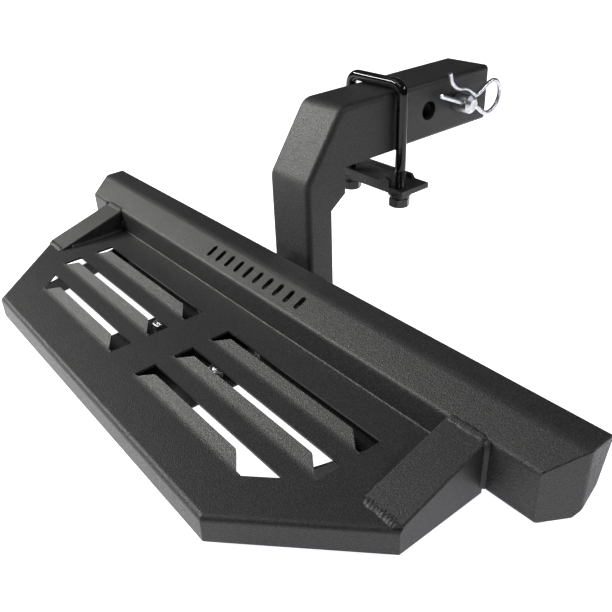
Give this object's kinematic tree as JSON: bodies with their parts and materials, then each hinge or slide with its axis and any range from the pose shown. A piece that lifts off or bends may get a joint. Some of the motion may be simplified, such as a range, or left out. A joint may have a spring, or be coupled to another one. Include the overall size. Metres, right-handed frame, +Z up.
{
  "type": "receiver hitch step",
  "caption": "Tailgate step: louvred tread on a folded cross bar, drop bracket and square shank for a receiver hitch, with pin, clip and anti-rattle clamp.",
  "frame": {"origin": "centre of the shank's free pin hole", "axes": "+X along the cross bar, +Y along the shank towards the vehicle, +Z up"},
  "size_m": [0.6096, 0.4381, 0.2014],
  "materials": {
    "powder_coat": "fine-textured black powder coat",
    "gloss_black": "gloss black",
    "black_fastener": "black coated, semi-gloss",
    "zinc": "zinc plated",
    "bright_zinc": "bright zinc plated"
  },
  "bodies": {
    "step": {"tread_plate": "powder_coat", "cross_bar": "powder_coat", "end_cap_left": "powder_coat", "end_cap_right": "powder_coat", "side_arm_left": "powder_coat", "side_arm_right": "powder_coat", "side_rib_left": "powder_coat", "side_rib_right": "powder_coat", "under_plate": "powder_coat", "foot_plate": "powder_coat", "web_plate_left": "powder_coat", "web_plate_right": "powder_coat", "drop_bracket": "powder_coat", "bracket_back_strip": "powder_coat", "shank_tube": "powder_coat", "tread_weld": "powder_coat", "arm_welds": "powder_coat", "post_welds": "powder_coat", "foot_bolts": "zinc", "foot_nuts": "zinc", "foot_washers": "zinc"},
    "u_bolt": {"u_bolt": "gloss_black"},
    "clamp": {"clamp_plate": "powder_coat", "clamp_washers": "black_fastener", "clamp_spring_washers": "black_fastener"},
    "nut_left": {"clamp_nut_left": "black_fastener"},
    "nut_right": {"clamp_nut_right": "black_fastener"},
    "pin": {"hitch_pin": "bright_zinc"},
    "clip": {"pin_clip": "bright_zinc"}
  },
  "joints": [
    {"name": "u_bolt_slide", "type": "slide", "parent": "step", "child": "u_bolt", "axis": [0, 1, 0], "range_m": [-0.04, 0.036]},
    {"name": "clamp_lift", "type": "slide", "parent": "u_bolt", "child": "clamp", "axis": [0, 0, 1], "range_m": [0, 0.024]},
    {"name": "nut_left_turn", "type": "hinge", "parent": "clamp", "child": "nut_left", "pos_m": [-0.03125, -0.0405, -0.0716], "axis": [0, 0, 1], "continuous": true},
    {"name": "nut_right_turn", "type": "hinge", "parent": "clamp", "child": "nut_right", "pos_m": [0.03125, -0.0405, -0.0716], "axis": [0, 0, 1], "continuous": true},
    {"name": "pin_slide", "type": "slide", "parent": "step", "child": "pin", "axis": [1, 0, 0], "range_m": [-0.008, 0.004]},
    {"name": "clip_pull", "type": "slide", "parent": "pin", "child": "clip", "axis": [0, 0.9311, -0.3649], "range_m": [0, 0.05]}
  ]
}
